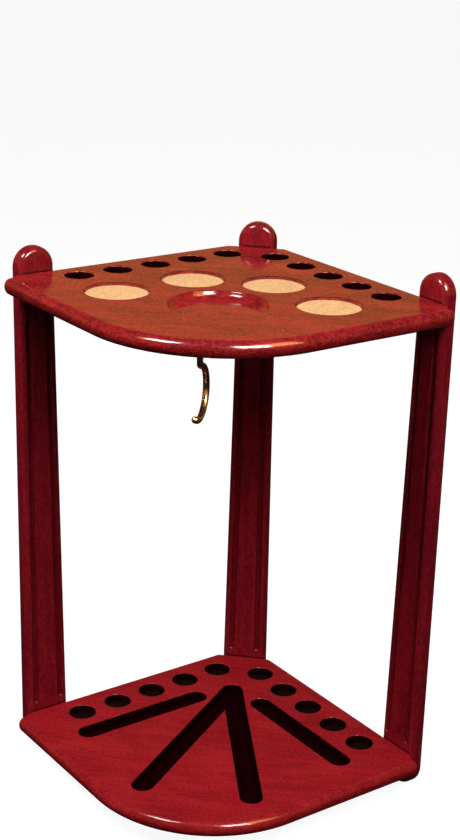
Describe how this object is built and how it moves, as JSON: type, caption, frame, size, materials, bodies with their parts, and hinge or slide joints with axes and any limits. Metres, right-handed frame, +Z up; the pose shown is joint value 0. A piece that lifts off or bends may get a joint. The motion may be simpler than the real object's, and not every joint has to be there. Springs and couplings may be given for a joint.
{
  "type": "corner cue rack",
  "caption": "Free-standing corner rack for pool cues: two quarter-shaped shelves on flat posts, with cue holes, cork drink rests, a turned dish, ball slots and a brass hook.",
  "frame": {"origin": "on the floor, under the middle of the rack's box", "axes": "+Z up; X runs along the back (right-hand) wall and Y along the left wall; the room corner is at -X, +Y and the round front looks along +X, -Y"},
  "size_m": [0.4172, 0.4172, 0.707],
  "materials": {
    "mahogany_lacquer": "red mahogany stain under gloss lacquer",
    "mahogany_post": "dark red mahogany stain under satin lacquer",
    "cork": "fine-grained natural cork, matte",
    "black_felt": "black felt, matte",
    "brass": "polished brass plate",
    "screw_steel": "dark zinc-plated steel"
  },
  "bodies": {
    "rack": {"cork_rest_1": "cork", "cork_rest_2": "cork", "cork_rest_3": "cork", "cork_rest_4": "cork", "corner_post": "mahogany_post", "corner_post_lower_screw_1": "screw_steel", "corner_post_lower_screw_2": "screw_steel", "corner_post_upper_screw_1": "screw_steel", "corner_post_upper_screw_2": "screw_steel", "front_foot": "mahogany_post", "front_foot_screw": "screw_steel", "left_post": "mahogany_post", "left_post_lower_screw_1": "screw_steel", "left_post_lower_screw_2": "screw_steel", "left_post_upper_screw_1": "screw_steel", "left_post_upper_screw_2": "screw_steel", "lower_shelf": "mahogany_lacquer", "right_post": "mahogany_post", "right_post_lower_screw_1": "screw_steel", "right_post_lower_screw_2": "screw_steel", "right_post_upper_screw_1": "screw_steel", "right_post_upper_screw_2": "screw_steel", "socket_felt_1": "black_felt", "socket_felt_10": "black_felt", "socket_felt_2": "black_felt", "socket_felt_3": "black_felt", "socket_felt_4": "black_felt", "socket_felt_5": "black_felt", "socket_felt_6": "black_felt", "socket_felt_7": "black_felt", "socket_felt_8": "black_felt", "socket_felt_9": "black_felt", "top_shelf": "mahogany_lacquer"},
    "hook": {"cup_hook": "brass"}
  },
  "joints": [
    {"name": "hook_turn", "type": "hinge", "parent": "rack", "child": "hook", "pos_m": [0.12265, -0.12265, 0.654], "axis": [0, 0, 1], "range_deg": [-90, 90]}
  ]
}
